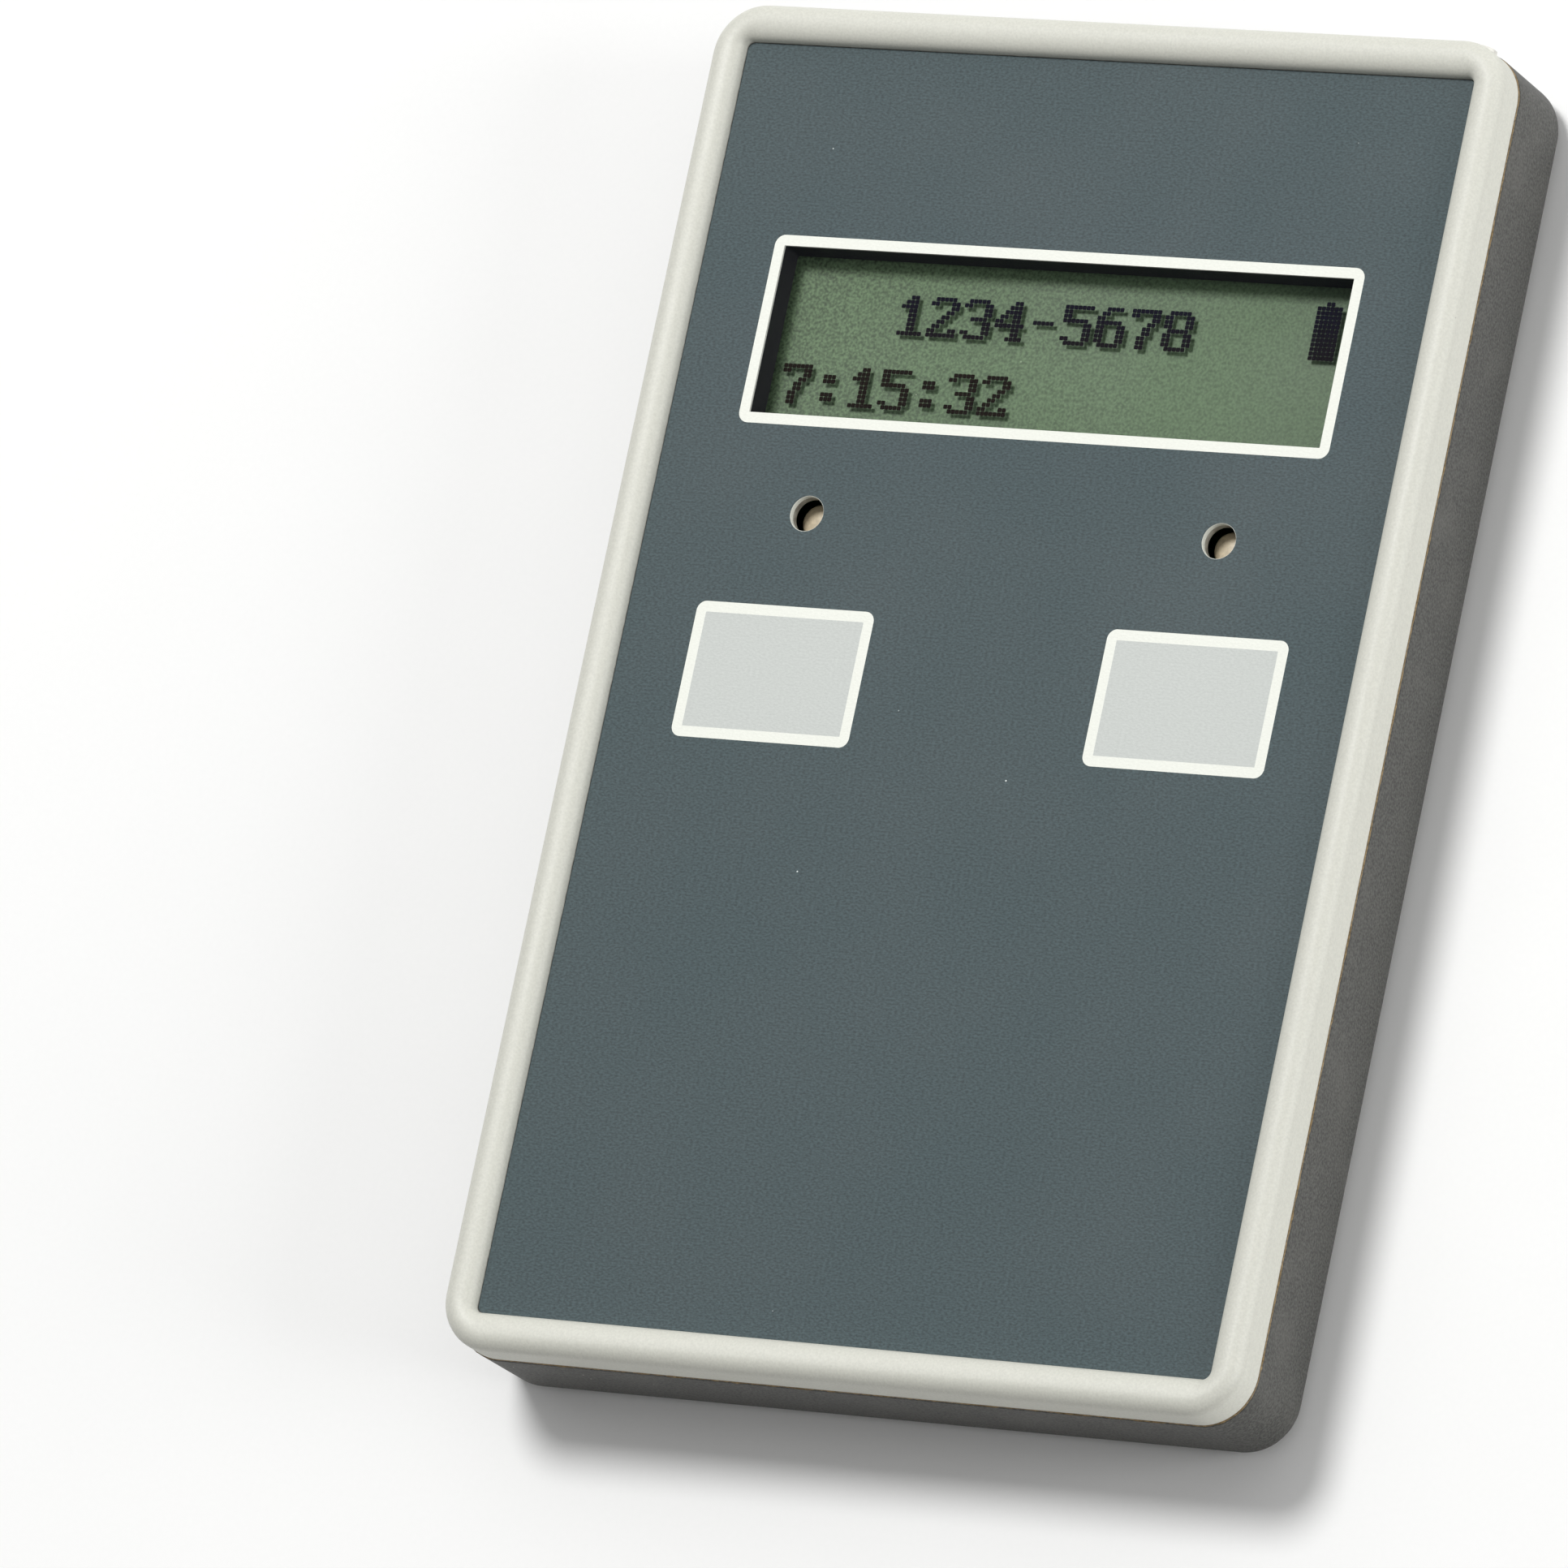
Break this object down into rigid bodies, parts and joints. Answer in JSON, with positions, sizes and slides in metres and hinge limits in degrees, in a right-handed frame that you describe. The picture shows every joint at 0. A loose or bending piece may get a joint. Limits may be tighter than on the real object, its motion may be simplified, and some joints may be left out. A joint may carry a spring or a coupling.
{
  "type": "pager",
  "caption": "Flat pocket pager: light bezel over a dark back shell, grey front foil with a wide LCD window, two LED holes and two membrane keys.",
  "frame": {"origin": "centre of the flat back face, which the pager lies on", "axes": "+X to the pager's right, +Y towards its top end, +Z out of the display"},
  "size_m": [0.0726, 0.1158, 0.0132],
  "materials": {
    "shell_light": "fine moulded grain, light warm grey",
    "strip_light": "moulded, light warm grey",
    "shell_dark": "fine spark-eroded grain, anthracite",
    "foil_grey": "printed polyester film, fine orange-peel texture, blue-grey",
    "key_grey": "printed polyester film, light grey with a white outline",
    "window_clear": "clear polished film",
    "led_cream": "diffusing resin, unlit",
    "foam_black": "closed-cell foam",
    "frame_black": "moulded black rubber",
    "lcd_green": "reflective yellow-green liquid crystal cell",
    "backlight_white": "light guide",
    "flex_amber": "polyimide film",
    "board_green": "solder mask",
    "chip_black": "moulding compound",
    "tinned_steel": "tinned sheet",
    "screw_steel": "zinc plated",
    "gold_wire": "plated spring wire",
    "capacitor_ochre": "moulded",
    "cell_silver": "laminated pouch",
    "lead_red": "wire insulation",
    "lead_black": "wire insulation",
    "plug_white": "natural nylon",
    "rubber_black": "moulded",
    "tungsten": "sintered heavy alloy",
    "switch_black": "moulded"
  },
  "bodies": {
    "case": {"back_shell": "shell_dark", "front_shell": "shell_light", "end_strip": "strip_light", "front_foil": "foil_grey", "display_window": "window_clear", "case_screw_1": "screw_steel", "case_screw_2": "screw_steel", "case_screw_3": "screw_steel", "case_screw_4": "screw_steel", "left_board_screw": "screw_steel", "right_board_screw": "screw_steel", "left_switch_body": "switch_black", "right_switch_body": "switch_black", "left_led": "led_cream", "right_led": "led_cream", "display_gasket": "frame_black", "lcd_front_glass": "lcd_green", "lcd_rear_glass": "lcd_green", "lcd_backlight": "backlight_white", "lcd_flex": "flex_amber", "main_board": "board_green", "microcontroller": "chip_black", "memory_chip": "chip_black", "charge_controller": "chip_black", "radio_board": "board_green", "radio_shield": "tinned_steel", "crystal": "tinned_steel", "storage_capacitor": "capacitor_ochre", "buzzer": "chip_black", "antenna_coil": "gold_wire", "charging_socket_shell": "tinned_steel", "charging_socket_tongue": "chip_black", "battery_cell": "cell_silver", "cell_foam_pad": "foam_black", "cell_top_pad": "foam_black", "protection_board": "board_green", "battery_header": "plug_white", "battery_plug": "plug_white", "battery_lead_red": "lead_red", "battery_lead_black": "lead_black", "motor_can": "tinned_steel", "motor_boot": "rubber_black", "motor_lead_red": "lead_red", "motor_lead_black": "lead_black"},
    "left_key": {"left_key": "key_grey"},
    "right_key": {"right_key": "key_grey"},
    "left_plunger": {"left_switch_plunger": "plug_white"},
    "right_plunger": {"right_switch_plunger": "plug_white"},
    "motor_rotor": {"motor_shaft": "screw_steel", "motor_weight": "tungsten"}
  },
  "joints": [
    {"name": "left_key_press", "type": "slide", "parent": "case", "child": "left_key", "axis": [0, 0, -1], "range_m": [0, 0.0003], "stiffness_N_per_m": 3000, "springref_m": -0.0002},
    {"name": "left_plunger_press", "type": "slide", "parent": "case", "child": "left_plunger", "axis": [0, 0, -1], "range_m": [0, 0.0003]},
    {"name": "right_key_press", "type": "slide", "parent": "case", "child": "right_key", "axis": [0, 0, -1], "range_m": [0, 0.0003], "stiffness_N_per_m": 3000, "springref_m": -0.0002},
    {"name": "right_plunger_press", "type": "slide", "parent": "case", "child": "right_plunger", "axis": [0, 0, -1], "range_m": [0, 0.0003]},
    {"name": "motor_spin", "type": "hinge", "parent": "case", "child": "motor_rotor", "pos_m": [0.014, -0.0514, 0.0056], "axis": [1, 0, 0], "continuous": true}
  ],
  "couplings": [
    {"joint": "left_plunger_press", "follows": "left_key_press", "ratio": 1},
    {"joint": "right_plunger_press", "follows": "right_key_press", "ratio": 1}
  ]
}
